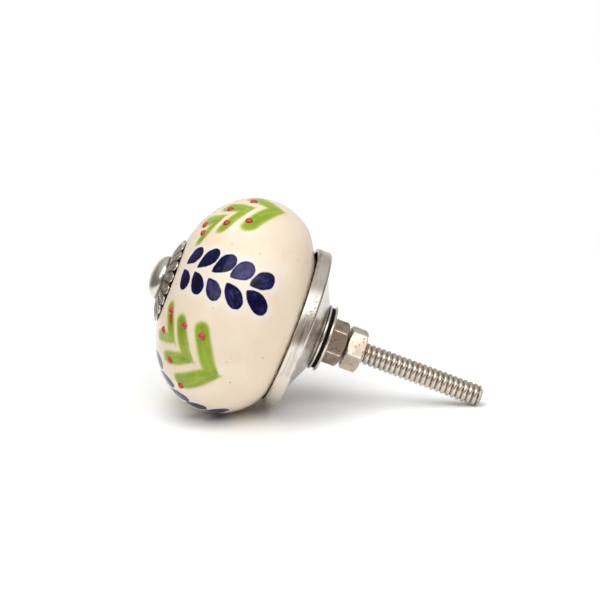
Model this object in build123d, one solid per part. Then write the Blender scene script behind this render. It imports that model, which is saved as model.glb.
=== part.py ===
from build123d import *
from math import cos, radians, sin, sqrt, tan
import os

# A painted ceramic cabinet knob on a through screw, in millimetres.
# The screw's axis is Y. The dome head faces -Y, the free end of the screw points to +Y, and +Z is up.
# The origin is the middle of the flat hub at the back of the base cup, where a drawer front seats.

# Screw
screw_radius = 2.0
thread_pitch_radius = 1.75
screw_free_length = 23.2
tip_chamfer = 0.6
dome_radius = 4.05
dome_height = 2.2

# Ceramic bulb
bulb_radius = 20.0
bulb_length = 24.9
belly_to_foot = 12.1
front_flat_radius = 4.0
bore_clearance = 0.5

# Raised enamel dots along the painted green sprigs
dot_radius = 0.62
dot_height = 0.42
# Each sprig: its angle about the screw from +X towards +Z, how wide its dots are spread,
# how far its stem leans from one row to the next, and how far it is moved towards the front
green_sprigs = (
    (-24.4, 1.0, 4.0, 1.6),
    (71.1, 0.56, -2.95, -2.5),
    (159.6, 0.8, 0.0, 0.0),
    (-116.4, 0.8, 0.0, 0.0),
)
# Each row of dots: its angle round the bulb's front from the belly, and its turn to either side of the stem
dot_rows = ((20.5, 19.9), (38.0, 14.8), (57.8, 10.3))

# Flower cap, pressed from sheet
cap_sheet = 0.3
cap_crown_radius = 3.05
cap_bend_radius = 9.0
cap_bend_angle = 32.7
petal_trim_angle = 6.0
petal_count = 20
petal_lobe_radius = 1.25
petal_groove_radius = 0.35
petal_groove_depth = 0.18
petal_groove_start = 18.0
cap_hole_clearance = 0.2
cap_seat_clearance = 0.02

# Base cup, spun from sheet
cup_sheet = 0.7
band_radius = 14.8
band_width = 2.65
band_edge_fillet = 0.4
step_radius = 12.3
cone_length = 2.8
cone_end_radius = 6.4
hub_radius = 6.0
hub_height = 0.2
cup_hole_clearance = 0.2
foot_clearance = 0.35

# Washers
washer_radius = 6.1
washer_thickness = 0.4
washer_hole_clearance = 0.15
rubber_radius = 5.7
rubber_thickness = 0.8
rubber_hole_clearance = 0.1

# Nuts
nut_across_flats = 7.3
nut_height = 3.3
nut_chamfer_angle = 30.0
nut_gap = 0.3
nut_thread_clearance = 0.02
nut_mouth_chamfer = 0.25
inner_nut_turn = 14.0
outer_nut_turn = 29.0

# Places along the axis, from the hub forward and from the hub back
step_y = -(cone_length + hub_height)
foot_y = step_y - cup_sheet
mouth_y = step_y - band_width
belly_y = foot_y - belly_to_foot
front_y = foot_y - bulb_length
inner_washer_y = 0.0
rubber_y = inner_washer_y + washer_thickness
outer_washer_y = rubber_y + rubber_thickness
inner_nut_y = outer_washer_y + washer_thickness
outer_nut_y = inner_nut_y + nut_height + nut_gap
nut_back_y = outer_nut_y + nut_height
tip_y = nut_back_y + screw_free_length

# The foot of the bulb fits the band, and every hole clears the screw
foot_radius = band_radius - cup_sheet - foot_clearance
bore_radius = screw_radius + bore_clearance


def bulb_front_y_at(radius):
    """The bulb's front surface, a quarter of an ellipse from its flat to its belly."""
    across = (radius - front_flat_radius) / (bulb_radius - front_flat_radius)
    return belly_y - (belly_y - front_y) * sqrt(1 - across**2)


# The cap's sheet bends down from its flat crown until its inner face rests on the bulb at the petal tips
cap_inner_bend_radius = cap_bend_radius - cap_sheet
petal_tip_radius = cap_crown_radius + cap_inner_bend_radius * sin(radians(cap_bend_angle))
cap_drop = cap_bend_radius - cap_inner_bend_radius * cos(radians(cap_bend_angle))
crown_y = bulb_front_y_at(petal_tip_radius) - cap_seat_clearance - cap_drop


def turned(outline):
    """A solid of revolution about Y from an outline whose points are (radius, y)."""
    return revolve(make_face(outline), axis=Axis.Y)


def ring(outer_radius, hole_radius, start_y, thickness):
    """A flat ring from start_y towards +Y."""
    corners = [
        (hole_radius, start_y),
        (outer_radius, start_y),
        (outer_radius, start_y + thickness),
        (hole_radius, start_y + thickness),
    ]
    return turned(Polyline(*corners, close=True))


def make_knob_screw():
    """The dome head and the shank. The thread is drawn plain: at its crests where the screw is bare or
    passes a hole, and at its pitch diameter inside the nuts, so that nut and screw meet without overlap."""
    dome = EllipticalCenterArc((0, crown_y), dome_radius, dome_height, start_angle=-90, arc_size=90)
    shank_corners = [
        dome @ 1,
        (screw_radius, crown_y),
        (screw_radius, inner_nut_y),
        (thread_pitch_radius, inner_nut_y),
        (thread_pitch_radius, nut_back_y),
        (screw_radius, nut_back_y),
        (screw_radius, tip_y - tip_chamfer),
        (screw_radius - tip_chamfer, tip_y),
        (0, tip_y),
        dome @ 0,
    ]
    return turned(Curve() + [dome, Polyline(*shank_corners)])


def make_flower_cap():
    """A domed sheet with a scalloped edge, and a pressed groove between each two petals."""
    hole_radius = screw_radius + cap_hole_clearance
    bend_centre = (cap_crown_radius, crown_y + cap_bend_radius)
    blank_angle = cap_bend_angle + petal_trim_angle
    front = CenterArc(bend_centre, cap_bend_radius, -90, blank_angle)
    back = CenterArc(bend_centre, cap_inner_bend_radius, -90, blank_angle)
    crown = Polyline(back @ 0, (hole_radius, crown_y + cap_sheet), (hole_radius, crown_y), front @ 0)
    sheet = turned(Curve() + [front, Line(front @ 1, back @ 1), back, crown])

    # The petals' outline, seen along the screw, trims the sheet
    lobe_circle = petal_tip_radius - petal_lobe_radius
    lobes = PolarLocations(lobe_circle, petal_count) * Circle(petal_lobe_radius)
    outline = Plane.XZ.offset(-crown_y) * (Circle(lobe_circle) + lobes)
    sheet &= extrude(outline, amount=2 * cap_drop, both=True)

    # One groove follows the bend halfway between two petals
    rise = petal_groove_radius - petal_groove_depth
    groove_path = CenterArc(
        bend_centre, cap_bend_radius + rise, petal_groove_start - 90, blank_angle - petal_groove_start
    )
    section = Plane(groove_path @ 0, z_dir=groove_path % 0) * Circle(petal_groove_radius)
    groove = sweep(section, path=groove_path)
    pitch = 360 / petal_count
    return sheet - [Rot(0, pitch * (i + 0.5), 0) * groove for i in range(petal_count)]


def enamel_dot(along, around):
    """A bead sunk in the bulb's front, at an angle along its ellipse and an angle about the screw."""
    width = bulb_radius - front_flat_radius
    depth = belly_y - front_y
    rise, run = sin(radians(along)), cos(radians(along))
    # The ellipse's own direction outwards, as (radius, y)
    normal = Vector(run / width, -rise / depth).normalized()
    sunk = dot_radius - dot_height
    radius = front_flat_radius + width * run - sunk * normal.X
    y = belly_y - depth * rise - sunk * normal.Y
    return Rot(0, -around, 0) * Pos(radius, y, 0) * Sphere(dot_radius)


def make_ceramic_bulb():
    """A quarter ellipse in front of the belly, an arc behind it, and a short foot that fits the cup.
    The raised dots are fired on with the glaze, in rows along the painted sprigs."""
    front = EllipticalCenterArc(
        (front_flat_radius, belly_y),
        bulb_radius - front_flat_radius,
        belly_y - front_y,
        start_angle=-90,
        arc_size=90,
    )
    rear = TangentArc(front @ 1, (foot_radius, mouth_y), tangent=(0, 1))
    inside = Polyline(
        rear @ 1, (foot_radius, foot_y), (bore_radius, foot_y), (bore_radius, front_y), front @ 0
    )
    middle_row = (len(dot_rows) - 1) / 2
    dots = [
        enamel_dot(along + forward, angle + lean * (row - middle_row) + side * spread * turn)
        for angle, spread, lean, forward in green_sprigs
        for row, (along, turn) in enumerate(dot_rows)
        for side in (1, -1)
    ]
    return turned(Curve() + [front, rear, inside]) + dots


def make_base_cup():
    """A band, a flat step that the bulb's foot rests on, a cone and a flat hub, all of one sheet."""
    cone_end_y = step_y + cone_length
    fall = step_radius - cone_end_radius
    slant = sqrt(cone_length**2 + fall**2)
    radius_per_mm = fall / cone_length
    inner_hub_y = -cup_sheet
    # The inside of the cone is parallel to its outside, one sheet away
    start_inside = step_radius - cup_sheet * cone_length / slant
    start_inside_y = step_y - cup_sheet * fall / slant
    inner_step_radius = start_inside + (start_inside_y - foot_y) * radius_per_mm
    inner_hub_radius = start_inside - (inner_hub_y - start_inside_y) * radius_per_mm
    hole_radius = screw_radius + cup_hole_clearance
    corners = [
        (band_radius - cup_sheet, mouth_y),
        (band_radius, mouth_y),
        (band_radius, step_y),
        (step_radius, step_y),
        (cone_end_radius, cone_end_y),
        (hub_radius, cone_end_y),
        (hub_radius, 0),
        (hole_radius, 0),
        (hole_radius, inner_hub_y),
        (inner_hub_radius, inner_hub_y),
        (inner_step_radius, foot_y),
        (band_radius - cup_sheet, foot_y),
    ]
    cup = turned(Polyline(*corners, close=True))
    back_edge = cup.edges().filter_by_position(Axis.Y, step_y, step_y).sort_by(SortBy.RADIUS)[-1]
    return fillet(back_edge, band_edge_fillet)


def make_nut(start_y, turn):
    """A hexagon nut, chamfered at both ends, with a countersunk mouth at each end of its hole."""
    corner_radius = nut_across_flats / 2 / cos(radians(30))
    chamfer_rise = (corner_radius - nut_across_flats / 2) * tan(radians(nut_chamfer_angle))
    hole_radius = thread_pitch_radius + nut_thread_clearance
    hexagon = Plane.XZ.offset(-start_y) * Rot(0, 0, turn + 30) * RegularPolygon(corner_radius, 6)
    prism = extrude(hexagon, amount=-nut_height)
    end_y = start_y + nut_height
    lens_corners = [
        (hole_radius + nut_mouth_chamfer, start_y),
        (nut_across_flats / 2, start_y),
        (corner_radius, start_y + chamfer_rise),
        (corner_radius, end_y - chamfer_rise),
        (nut_across_flats / 2, end_y),
        (hole_radius + nut_mouth_chamfer, end_y),
        (hole_radius, end_y - nut_mouth_chamfer),
        (hole_radius, start_y + nut_mouth_chamfer),
    ]
    return prism & turned(Polyline(*lens_corners, close=True))


pieces = {
    "knob_screw": make_knob_screw(),
    "flower_cap": make_flower_cap(),
    "ceramic_bulb": make_ceramic_bulb(),
    "base_cup": make_base_cup(),
    "inner_washer": ring(
        washer_radius, screw_radius + washer_hole_clearance, inner_washer_y, washer_thickness
    ),
    "rubber_washer": ring(rubber_radius, screw_radius + rubber_hole_clearance, rubber_y, rubber_thickness),
    "outer_washer": ring(
        washer_radius, screw_radius + washer_hole_clearance, outer_washer_y, washer_thickness
    ),
    "inner_nut": make_nut(inner_nut_y, inner_nut_turn),
    "outer_nut": make_nut(outer_nut_y, outer_nut_turn),
}

os.makedirs("parts", exist_ok=True)
for name, solid in pieces.items():
    solid.label = name
    export_step(solid, f"parts/{name}.step")
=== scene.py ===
"""A painted ceramic cabinet knob on a through screw: its visual pieces and a plain studio stage."""

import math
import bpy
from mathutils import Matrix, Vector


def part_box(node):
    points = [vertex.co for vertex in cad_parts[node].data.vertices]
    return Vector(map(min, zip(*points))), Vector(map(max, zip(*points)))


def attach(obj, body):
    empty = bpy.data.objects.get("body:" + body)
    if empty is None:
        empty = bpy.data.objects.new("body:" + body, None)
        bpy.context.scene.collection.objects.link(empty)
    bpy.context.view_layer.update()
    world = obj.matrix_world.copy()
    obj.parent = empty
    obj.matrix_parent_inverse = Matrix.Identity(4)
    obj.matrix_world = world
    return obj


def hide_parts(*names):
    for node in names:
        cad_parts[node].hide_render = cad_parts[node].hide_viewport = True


bl_info = {
    "name": "Painted Cabinet Knob",
    "version": (1, 0, 0),
    "blender": (4, 5, 0),
    "location": "View3D > Sidebar > Knob",
    "description": "Builds the visual pieces of a painted ceramic cabinet knob on its packed frame",
    "category": "Object",
}

import bmesh
import bpy
import numpy as np
from bpy.props import FloatProperty, FloatVectorProperty, IntProperty, PointerProperty
from mathutils import Matrix, Vector

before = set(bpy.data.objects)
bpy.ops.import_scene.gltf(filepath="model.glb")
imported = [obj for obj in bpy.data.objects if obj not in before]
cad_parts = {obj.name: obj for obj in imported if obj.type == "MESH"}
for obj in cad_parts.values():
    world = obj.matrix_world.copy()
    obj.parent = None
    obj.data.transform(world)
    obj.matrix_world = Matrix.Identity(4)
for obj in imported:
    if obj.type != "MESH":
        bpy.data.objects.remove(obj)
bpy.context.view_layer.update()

# One millimetre in scene units
MM = 0.001

BULB_LOW, BULB_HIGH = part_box("ceramic_bulb")
CUP_LOW, CUP_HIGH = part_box("base_cup")
CAP_LOW, CAP_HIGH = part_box("flower_cap")
SCREW_LOW, SCREW_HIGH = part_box("knob_screw")


def length(name, default, description):
    """A size that the user may change."""
    return FloatProperty(name=name, description=description, default=default, unit="LENGTH", precision=5)


def angle(name, degrees, description):
    """A turn that the user may change."""
    return FloatProperty(name=name, description=description, default=math.radians(degrees), unit="ROTATION")


def colour(name, default, description):
    """A colour that the user may change."""
    return FloatVectorProperty(
        name=name, description=description, default=default, subtype="COLOR", size=3, min=0.0, max=1.0
    )


def number(name, default, description, **limits):
    """A plain number that the user may change."""
    return FloatProperty(name=name, description=description, default=default, **limits)


def amounts(name, default, description):
    """A short row of numbers, one for each sprig, leaf or row of dots."""
    return FloatVectorProperty(name=name, description=description, default=default, size=len(default))


class KnobCeramicSettings(bpy.types.PropertyGroup):
    """Sizes and colours of the glazed bulb"""

    belly_y: length("Belly place", -15.8 * MM, "Where the bulb is widest, along the screw")
    flat_radius: length("Front flat radius", 4.0 * MM, "Flat in the middle of the front, under the cap")
    foot_radius: length("Foot radius", 13.75 * MM, "Foot that sits in the base cup")
    bore_radius: length("Bore radius", 2.5 * MM, "Hole for the screw")
    unevenness: length("Unevenness", 0.08 * MM, "How far the hand-made body falls short of its true round")
    seat_gap: length("Gap at the cup", 0.95 * MM, "How far the foot leaves the cup's band at the top")
    ivory: colour("Ivory glaze", (0.84, 0.69, 0.535), "Main colour of the glaze")
    cream: colour("Cream glaze", (0.87, 0.755, 0.61), "Paler clouds in the glaze")
    peach: colour("Peach glaze", (0.82, 0.64, 0.475), "Warmer clouds in the glaze")
    speck: colour("Specks", (0.05, 0.03, 0.02), "Tiny iron specks under the glaze")
    # Painted shade: near black for the glaze in the gap at the cup's mouth and under the cap, where shade
    # falls
    gap_shade: colour("Grime", (0.012, 0.009, 0.007), "Dirt under the cap and in the cup's mouth")


class KnobPaintSettings(bpy.types.PropertyGroup):
    """Places, sizes and colours of the painted sprigs and raised dots"""

    blue_angles: amounts("Blue sprigs", (23.6, -67.4, -152.0, 117.6), "Angles about the screw, in degrees")
    blue_lean: amounts("Blue lean", (-0.53, 0.1, -0.2, 0.15), "Swing of each stem, in degrees per mm")
    blue_first: number("First leaf", -15.35, "Arc from belly to first tip, in mm")
    blue_pitch: number("Leaf pitch", 3.7, "Arc between pairs of leaves, in mm")
    blue_shift: amounts("Blue shift", (0.0, 1.4, 0.6, -0.4), "Shift of each sprig to the back, in mm")
    upper_tip: amounts("Upper tips", (0.3, -0.3, -0.3, 0.15, 0.5), "Tips of the upper leaves, in mm")
    upper_end: amounts("Upper ends", (3.4, 3.85, 3.85, 3.95, 4.1), "Round ends of the upper leaves, in mm")
    upper_run: amounts("Upper run", (3.7, 3.9, 3.65, 3.4, 3.7), "Run of the upper leaves, in mm")
    upper_width: amounts("Upper widths", (2.8, 2.7, 2.85, 3.0, 2.9), "Widths of the upper leaves, in mm")
    lower_tip: amounts("Lower tips", (-0.8, -1.1, -1.5, -1.0, -0.6), "Tips of the lower leaves, in mm")
    lower_end: amounts("Lower ends", (-4.4, -4.7, -4.6, -4.1, -2.3), "Round ends of the lower leaves, in mm")
    lower_run: amounts("Lower run", (2.6, 2.9, 2.95, 3.45, 4.5), "Run of the lower leaves, in mm")
    lower_width: amounts("Lower widths", (2.8, 2.9, 2.9, 3.2, 3.4), "Widths of the lower leaves, in mm")
    blue_tones: amounts(
        "Blue tones",
        (0.25, 0.1, 0.35, 0.95, 0.5, 0.05, 0.1, 0.7, 0.55, 0.3),
        "How thin the blue is on each leaf of the first sprig, the upper ones first",
    )
    navy: colour("Navy", (0.002, 0.0015, 0.02), "Blue where the brush left it thick")
    cobalt: colour("Cobalt", (0.0045, 0.006, 0.075), "Blue in full strength")
    violet: colour("Violet blue", (0.07, 0.065, 0.2), "Blue where the brush left it thin")
    lilac: colour("Lilac", (0.36, 0.37, 0.55), "Fringe of the blue")
    halo: colour("Halo", (0.83, 0.765, 0.665), "Pale ground where the blue has bled into the glaze")
    green_angles: amounts("Green sprigs", (-25.0, 79.6, 159.6, -116.4), "Angles about the screw, in degrees")
    green_lean: amounts("Green lean", (0.0, 0.89, 0.0, 0.0), "Swing of each stem, in degrees per mm")
    green_shift: amounts("Green shift", (0.0, 1.15, 0.3, -0.3), "Shift of each sprig to the back, in mm")
    green_size: amounts("Green size", (1.0, 0.9, 0.95, 0.95), "How large each sprig's leaves are")
    green_start: amounts("Green starts", (-0.8, -5.9, -11.0), "Arc from belly to each chevron, in mm")
    green_end: amounts("Green ends", (-6.2, -11.0, -15.6), "Arc from belly to the ends of its leaves, in mm")
    green_bow: amounts("Green bow", (0.28, 0.3, 0.12), "How far the leaves above a stem are bowed, in mm")
    green_reach: amounts("Green reach", (7.5, 5.2, 4.0), "How far its leaves reach to each side, in mm")
    upper_green: amounts("Upper green widths", (3.2, 2.9, 2.9), "Widths of the leaves above a stem, in mm")
    lower_green: amounts("Lower green widths", (3.6, 2.7, 2.2), "Widths of the leaves below a stem, in mm")
    green_blunt: amounts("Green bluntness", (2.2, 2.2, 2.6), "How square the ends of its leaves are")
    leaf_green: colour("Leaf green", (0.28, 0.39, 0.032), "Main green")
    lime: colour("Lime", (0.47, 0.53, 0.10), "Green where it is thin")
    moss: colour("Moss", (0.20, 0.30, 0.022), "Green where it is thick")
    dot_angles: amounts("Dot sprigs", (-24.4, 71.1, 159.6, -116.4), "Angles of the rows of dots, in degrees")
    dot_spread: amounts("Dot spread", (1.0, 0.56, 0.8, 0.8), "How wide each sprig's dots are spread")
    dot_lean: amounts("Dot lean", (4.0, -2.95, 0.0, 0.0), "Swing from row to row, in degrees")
    dot_forward: amounts("Dots forward", (1.6, -2.5, 0.0, 0.0), "Shift of all rows to the front, in degrees")
    dot_along: amounts("Dot rows", (20.5, 38.0, 57.8), "Angle of each row round the bulb's front, in degrees")
    dot_turn: amounts("Dot turns", (19.9, 14.8, 10.3), "Turn of each row's dots to either side, in degrees")
    dot_radius: length("Dot radius", 0.62 * MM, "Size of a raised dot")
    dot_height: length("Dot height", 0.42 * MM, "How far a dot stands out of the glaze")
    red: colour("Red enamel", (0.46, 0.034, 0.019), "Raised dots")
    smear: colour("Smear", (0.36, 0.05, 0.03), "Streak of a dot that was dragged")
    smear_end: amounts("Smear end", (-12.55, 1.36), "Arc and distance from its stem, in mm")


class KnobMetalSettings(bpy.types.PropertyGroup):
    """Sizes and colours of the cap, the cup, the screw, the washers and the nuts"""

    crown_radius: length("Cap crown radius", 3.05 * MM, "Flat middle of the flower cap")
    cap_bend: length("Cap bend radius", 9.0 * MM, "Bend of the cap's sheet over the petals")
    cap_sheet: length("Cap sheet", 0.3 * MM, "Thickness of the cap's sheet")
    rim_thinning: number("Rim thinning", 0.25, "Share of the cap's sheet lost at its rim", min=0.0, max=0.9)
    cap_hole: length("Cap hole radius", 2.2 * MM, "Hole in the cap for the screw")
    petals: IntProperty(name="Petals", description="Number of petals round the cap", default=20, min=5)
    notch: length("Notch depth", 1.0 * MM, "How deep the rim is cut between two petals")
    emboss: length("Petal relief", 0.13 * MM, "Depth of the pressed pattern")
    cup_sheet: length("Cup sheet", 0.7 * MM, "Thickness of the cup's sheet")
    step_y: length("Cup step place", -3.0 * MM, "Back of the cup's band, along the screw")
    step_radius: length("Cup step radius", 12.3 * MM, "Where the cup's cone begins")
    cone_end: length("Cup cone end", 6.4 * MM, "Where the cup's cone ends")
    hub_radius: length("Cup hub radius", 5.75 * MM, "Flat hub behind the cone")
    hub_height: length("Cup hub height", 0.2 * MM, "How far the hub stands out of the cone")
    cup_hole: length("Cup hole radius", 2.2 * MM, "Hole in the cup for the screw")
    thread_pitch: length("Thread pitch", 1.0 * MM, "Distance from crest to crest")
    thread_crest: length("Thread crest radius", 2.0 * MM, "Top of the thread, and the plain shank")
    thread_root: length("Thread root radius", 1.55 * MM, "Bottom of the thread")
    tip_chamfer: length("Tip chamfer", 0.6 * MM, "Bevel at the screw's end")
    dome_radius: length("Dome radius", SCREW_HIGH[0], "Domed head of the screw")
    washer_hole: length("Washer hole radius", 2.15 * MM, "Hole in each washer")
    washer_swell: length("Washer swell", 0.1 * MM, "Reach of the rolled edges over the rubber")
    across_flats: length("Nut across flats", 7.3 * MM, "Size of both nuts")
    nut_hole: length("Nut hole radius", 1.77 * MM, "Threaded hole, at its pitch diameter")
    nut_mouth: length("Nut mouth", 0.25 * MM, "Countersink of the nut's hole")
    nut_wear: length("Nut edge wear", 0.09 * MM, "How far the nuts' edges are rounded")
    inner_nut_turn: angle("Inner nut turn", 14.0, "Which way a flat of the inner nut faces")
    outer_nut_turn: angle("Outer nut turn", 29.0, "Which way a flat of the outer nut faces")
    nickel: colour("Bright nickel", (0.74, 0.69, 0.62), "Plating of the cup and the washers")
    worn_nickel: colour("Worn nickel", (0.72, 0.68, 0.62), "Plating of the flower cap")
    dome_nickel: colour("Dome nickel", (0.75, 0.71, 0.645), "Plating of the dome head")
    # Painted light: both nuts have the same plating, the inner one tinted darker as painted shade and the
    # outer one paler as a painted highlight
    shaded_nut_nickel: colour("Warm nickel", (0.48, 0.385, 0.305), "Plating of the inner nut")
    lit_nut_nickel: colour("Pale nickel", (0.76, 0.64, 0.52), "Plating of the outer nut")
    # Painted shade: the shank's plating is darker than the dome's, standing for the shade on the screw
    shaded_screw_nickel: colour("Screw nickel", (0.66, 0.60, 0.52), "Plating of the threaded shank")
    # Also the dark colour of the painted shade round the dome's rim and where the cup's hub meets the first
    # washer
    tarnish_and_shade: colour("Tarnish", (0.07, 0.055, 0.04), "Dirt in grooves and roots")
    rubber: colour("Rubber", (0.003, 0.003, 0.003), "Black ring between the washers")


class KnobStageSettings(bpy.types.PropertyGroup):
    """The camera, the lamps and the floor"""

    view_azimuth: angle("View azimuth", 84.47, "Where the camera stands round the knob")
    view_elevation: angle("View elevation", 12.77, "How high the camera stands")
    view_roll: angle("View roll", 21.84, "Turn of the camera about its sight line")
    view_distance: length("View distance", 361.7 * MM, "From the camera to the seat, along the sight line")
    seat_right: length("Seat to the right", 3.29 * MM, "How far the seat lies right of the sight line")
    seat_down: length("Seat below", 6.51 * MM, "How far the seat lies below the sight line")
    lens: number("Lens", 120.0, "Focal length on a 36 mm sensor", unit="CAMERA")
    floor_tilt: angle("Floor tilt", 21.94, "Lean of the floor that the bulb and the screw's end lie on")
    floor_white: colour("Floor", (0.97, 0.97, 0.97), "Paper under the knob")
    fill_low: number("Low fill", 0.06, "Light from the walls all round", min=0.0)
    fill_high: number("High fill", 0.84, "Light from the ceiling", min=0.0)
    room: colour("Room", (0.37, 0.325, 0.28), "Walls that the metal reflects")
    dark_wall: colour("Dark wall", (0.22, 0.19, 0.16), "Wall ahead of the knob that the metal reflects")
    ceiling: colour("Ceiling", (0.62, 0.61, 0.59), "Ceiling that the metal reflects")
    backdrop: colour("Backdrop", (0.75, 0.74, 0.72), "White sheet behind the knob that the metal reflects")


# Meshes

# How fine they are: columns about the screw, and rings along each outline
FILLET_STEPS = 6
BULB_COLUMNS, BULB_FRONT_RINGS, BULB_REAR_RINGS = 432, 112, 72
PETAL_COLUMNS, CAP_FRONT_RINGS, CAP_BACK_RINGS = 30, 60, 14
CUP_COLUMNS = 288
WASHER_COLUMNS = 160
NUT_FLAT_COLUMNS = 20
SHANK_COLUMNS, RINGS_PER_THREAD = 84, 15
DOME_COLUMNS, DOME_RINGS = 128, 40


def eased(low, high, value):
    """0 at low, 1 at high, with a soft start and end, also where low is above high."""
    share = np.clip((value - low) / (high - low), 0.0, 1.0)
    return share * share * (3.0 - 2.0 * share)


def turns(count):
    """Evenly spread angles of one full turn, from +X towards +Z."""
    return np.linspace(0.0, 2.0 * math.pi, count, endpoint=False)


def wound(name, radius, along, angles, joined=True, crease=35.0):
    """A mesh about the screw's axis. radius and along hold a row for each ring and a column for each angle.
    A joined one closes from its last ring to its first."""
    rings, columns = radius.shape
    x = radius * np.cos(angles)
    z = radius * np.sin(angles)
    points = np.stack([x, along, z], axis=-1).reshape(-1, 3)
    first = np.arange(rings if joined else rings - 1)[:, None]
    second = (first + 1) % rings
    column = np.arange(columns)[None, :]
    following = (column + 1) % columns
    corners = (
        first * columns + column,
        first * columns + following,
        second * columns + following,
        second * columns + column,
    )
    faces = np.stack([np.broadcast_to(c, (len(first), columns)) for c in corners], axis=-1).reshape(-1, 4)
    mesh = bpy.data.meshes.new(name)
    mesh.from_pydata(points.tolist(), [], faces.tolist())
    tidy_mesh(mesh, crease)
    return in_scene(name, mesh)


def in_scene(name, data):
    """A new object in the scene, of a mesh, a lamp or a camera."""
    thing = bpy.data.objects.new(name, data)
    bpy.context.scene.collection.objects.link(thing)
    return thing


def tidy_mesh(mesh, crease):
    """Closes poles, turns every face outwards, shades smooth and keeps edges sharper than the crease."""
    work = bmesh.new()
    work.from_mesh(mesh)
    bmesh.ops.remove_doubles(work, verts=work.verts, dist=1e-7)
    bmesh.ops.recalc_face_normals(work, faces=work.faces)
    work.to_mesh(mesh)
    work.free()
    mesh.shade_smooth()
    mesh.set_sharp_from_angle(angle=math.radians(crease))


def cylindrical(mesh):
    """Radius, place along the screw and angle of every vertex."""
    flat = np.empty(len(mesh.vertices) * 3)
    mesh.vertices.foreach_get("co", flat)
    x, y, z = flat.reshape(-1, 3).T
    return np.hypot(x, z), y, np.arctan2(z, x)


def keep(mesh, name, values):
    """Stores one number at each vertex, for the finish to read."""
    layer = mesh.attributes.new(name, "FLOAT", "POINT")
    layer.data.foreach_set("value", np.asarray(values, dtype=np.float32))


def rounded(corners):
    """The outline through corners of (radius, along, fillet), with each corner rounded."""
    outline = []
    count = len(corners)
    for i, (radius, along, fillet) in enumerate(corners):
        here = Vector((radius, along))
        before = (Vector(corners[i - 1][:2]) - here).normalized()
        after = (Vector(corners[(i + 1) % count][:2]) - here).normalized()
        half = before.angle(after) / 2.0
        if fillet <= 0.0 or half > math.radians(89.0):
            outline.append(here)
            continue
        reach = fillet / math.tan(half)
        start = here + before * reach
        end = here + after * reach
        centre = here + (before + after).normalized() * (fillet / math.sin(half))
        for k in range(FILLET_STEPS + 1):
            point = start.lerp(end, k / FILLET_STEPS) - centre
            outline.append(centre + point.normalized() * fillet)
    return np.array([tuple(p) for p in outline])


def spun(outline, columns):
    """Radius and place along the screw of an outline, the same in each column, and the columns' angles."""
    radius = np.repeat(outline[:, :1], columns, axis=1)
    along = np.repeat(outline[:, 1:], columns, axis=1)
    return radius, along, turns(columns)


def lathed(name, corners, columns):
    """A ring turned from rounded corners."""
    return wound(name, *spun(rounded(corners), columns))


def place(piece, finish, node=None):
    """Gives a piece its finish, and sets it on the frame in the stead of its plain solid."""
    piece.data.materials.append(finish.material)
    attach(piece, "root")
    if node:
        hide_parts(node)
    return piece


# Finishes


class Nodes:
    """A node tree, and short ways to add to it."""

    def __init__(self, tree, coordinates):
        self.tree = tree
        self.position = self.add("TexCoord").outputs[coordinates]

    def add(self, kind, inputs=None, **settings):
        """A new node, with its settings and what goes into its sockets."""
        node = self.tree.nodes.new("ShaderNode" + kind)
        for key, value in settings.items():
            setattr(node, key, value)
        for key, value in (inputs or {}).items():
            self.feed(node.inputs[key], value)
        return node

    def feed(self, socket, value):
        """Links another node's output to a socket, or sets its value."""
        if isinstance(value, bpy.types.NodeSocket):
            self.tree.links.new(value, socket)
        elif socket.type == "RGBA":
            socket.default_value = (*value, 1.0)
        else:
            socket.default_value = value

    def calc(self, operation, first, second=0.0):
        """One sum of two numbers."""
        return self.add("Math", {0: first, 1: second}, operation=operation).outputs[0]

    def times(self, first, second):
        """Two numbers multiplied."""
        return self.calc("MULTIPLY", first, second)

    def plus(self, first, second):
        """Two numbers added."""
        return self.calc("ADD", first, second)

    def measure(self, operation, first, second=(0.0, 0.0, 0.0)):
        """One number from two vectors, such as the distance between them."""
        return self.add("VectorMath", {0: first, 1: second}, operation=operation).outputs["Value"]

    def vector(self, x=0.0, y=0.0, z=0.0):
        """A vector of three numbers."""
        return self.add("CombineXYZ", {0: x, 1: y, 2: z}).outputs[0]

    def off_axis(self):
        """Distance from the screw's axis, and place along it."""
        x, y, z = self.add("SeparateXYZ", {0: self.position}).outputs
        return self.measure("LENGTH", self.vector(x, 0.0, z)), y

    def ease(self, value, low, high, start=0.0, end=1.0):
        """From start at low to end at high, with a soft start and end."""
        if low > high:
            low, high, start, end = high, low, end, start
        limits = {"Value": value, "From Min": low, "From Max": high, "To Min": start, "To Max": end}
        return self.add("MapRange", limits, interpolation_type="SMOOTHSTEP").outputs["Result"]

    def blend(self, share, under, over):
        """One colour over another."""
        return self.add("Mix", {0: share, 6: under, 7: over}, data_type="RGBA").outputs[2]

    def noise(self, scale, detail=2.0, where=None, roughness=0.5):
        """Soft random spots, a number of them to the metre."""
        inputs = {"Vector": where or self.position, "Scale": scale, "Detail": detail, "Roughness": roughness}
        return self.add("TexNoise", inputs).outputs["Fac"]

    def stretched(self, x, y, z):
        """Positions stretched along the axes, for streaks."""
        return self.add("Mapping", {"Vector": self.position, "Scale": (x, y, z)}).outputs["Vector"]

    def kept(self, name):
        """A number that the mesh holds at its vertices."""
        return self.add("Attribute", attribute_name=name).outputs["Fac"]


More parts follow.
